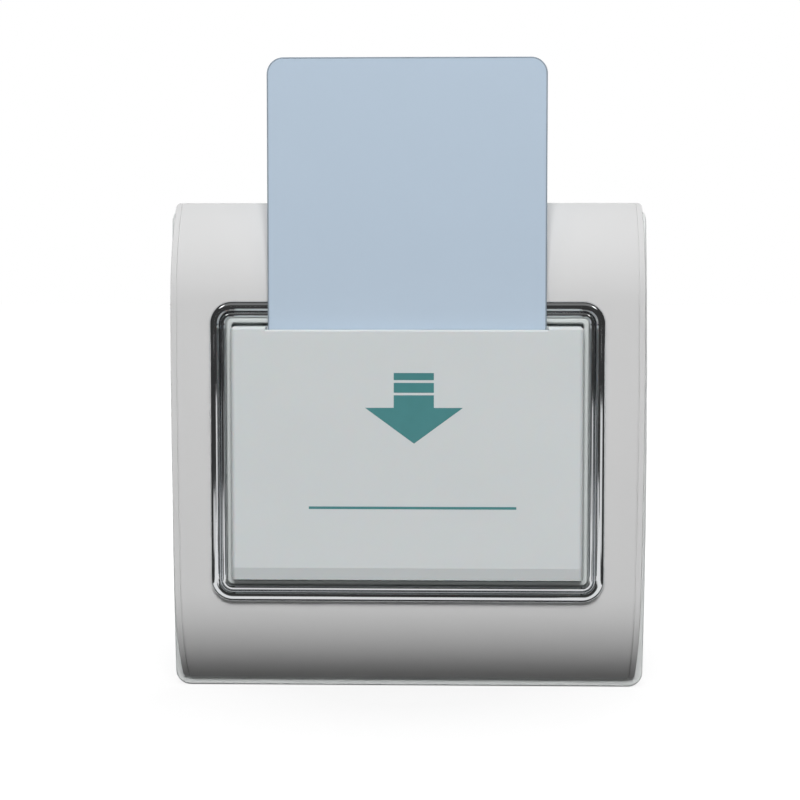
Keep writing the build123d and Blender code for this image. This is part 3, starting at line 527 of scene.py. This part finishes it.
def only_shine(cloth, name, glow):
    """Makes a stage object a screen or a card with this much light, that only shiny things see."""
    cloth.name = name
    material = bpy.data.materials.new(name)
    material.use_nodes = True
    material.node_tree.nodes.clear()
    pen = Pen(material.node_tree)
    light = pen.node("Emission", sockets={"Color": (1, 1, 1, 1), "Strength": glow})
    pen.node("OutputMaterial", sockets={"Surface": light})
    cloth.data.materials.append(material)
    for kind in ("camera", "diffuse", "transmission", "volume_scatter", "shadow"):
        setattr(cloth, "visible_" + kind, False)


def card(name, glow, place, width, length, upright=False, turn=0.0):
    """A flat screen or card round a place, lying down, or upright and turned."""
    bpy.ops.object.select_all(action="DESELECT")
    bpy.ops.mesh.primitive_plane_add(
        size=1, location=place, rotation=(math.pi / 2 if upright else 0, 0, turn)
    )
    sheet = bpy.context.object
    sheet.scale = (width, length, 1)
    bpy.ops.object.transform_apply(location=True, rotation=True, scale=True)
    only_shine(sheet, name, glow)


# A dark dome over the front half of the stage and a dark carpet on its floor
dark = 0.04
dome_radius, dome_back = 1.6, 0.4
bpy.ops.object.select_all(action="DESELECT")
bpy.ops.mesh.primitive_uv_sphere_add(segments=48, ring_count=24, radius=dome_radius, location=(0, 0, 0))
dome = bpy.context.object
bpy.ops.object.mode_set(mode="EDIT")
bpy.ops.mesh.select_all(action="SELECT")
bpy.ops.mesh.bisect(plane_co=(0, dome_back, 0), plane_no=(0, 1, 0), clear_outer=True, clear_inner=False)
bpy.ops.mesh.select_all(action="SELECT")
bpy.ops.mesh.bisect(plane_co=(0, 0, floor_z), plane_no=(0, 0, 1), clear_inner=True, clear_outer=False)
bpy.ops.object.mode_set(mode="OBJECT")
only_shine(dome, "dark_screen", dark)
card("dark_carpet", dark, (0, -0.7, floor_z + 0.0001), 3.1, 1.5)

# A white card at the foot of the plate, a dark flag over it that keeps it from the upper bead,
# and a white card at each side
card("white_card", 0.9, (0, -0.155, floor_z + 0.0002), 0.2, 0.26)
card("dark_flag", dark, (0, -0.26125, 0.012), 0.11, 0.4875)
side_reach = 0.22
for name, degrees, width, top, glow in (
    ("left_card", -27, 0.17, -0.032, 0.7),
    ("right_card", 30, 0.16, -0.006, 0.8),
):
    turn = math.radians(degrees)
    place = (side_reach * math.sin(turn), -side_reach * math.cos(turn), (floor_z + top) / 2)
    card(name, glow, place, width, top - floor_z, upright=True, turn=turn)

# Lamps: the key is high in front, and the others are far weaker
cover_face = -0.012
aim = Vector((0, cover_face, 0))


def toward(azimuth, elevation):
    """The way from the object to a lamp or camera at this azimuth and elevation in degrees."""
    turn, rise = math.radians(azimuth), math.radians(elevation)
    return Vector((math.sin(turn) * math.cos(rise), -math.cos(turn) * math.cos(rise), math.sin(rise)))


def soft_lamp(name, azimuth, elevation, distance, width, height, watts):
    """A soft box that faces the object, from this azimuth and elevation."""
    way = toward(azimuth, elevation)
    light = bpy.data.lights.new(name, "AREA")
    light.shape = "RECTANGLE"
    light.size = width
    light.size_y = height
    light.energy = watts
    lamp = bpy.data.objects.new(name, light)
    bpy.context.scene.collection.objects.link(lamp)
    lamp.location = aim + way * distance
    lamp.rotation_euler = (-way).to_track_quat("-Z", "Y").to_euler()
    return lamp


key = soft_lamp("key_softbox", 1.5, 41, 0.9, 0.3, 0.35, 8.25)
key.visible_glossy = False
soft_lamp("high_strip", 0, 50, 1.0, 1.2, 0.9, 0.62)
soft_lamp("left_corner_box", -38, 38, 1.0, 0.2, 0.2, 0.35)
soft_lamp("right_corner_box", 38, 38, 1.0, 0.2, 0.2, 0.35)
soft_lamp("rear_softbox", 165, 12, 0.9, 0.5, 0.4, 4.5)

# Camera: level with the middle of the plate and a little above and to the right of it.
# Its place and lens come from where the edges of the plate, ring and card lie in the photograph.
camera_azimuth, camera_elevation, camera_reach = 1.5, 5.3, 0.4
pivot = Vector((0, cover_face, 0.0009))
target = Vector((-0.001414, cover_face, 0.009106))
lens = bpy.data.cameras.new("camera")
lens.sensor_width = 36
lens.lens = 92.05
lens.clip_start = 0.01
camera = bpy.data.objects.new("camera", lens)
bpy.context.scene.collection.objects.link(camera)
camera.location = pivot + toward(camera_azimuth, camera_elevation) * camera_reach
camera.rotation_euler = (target - camera.location).to_track_quat("-Z", "Y").to_euler()
bpy.context.scene.camera = camera
bpy.context.scene.view_settings.view_transform = "Standard"
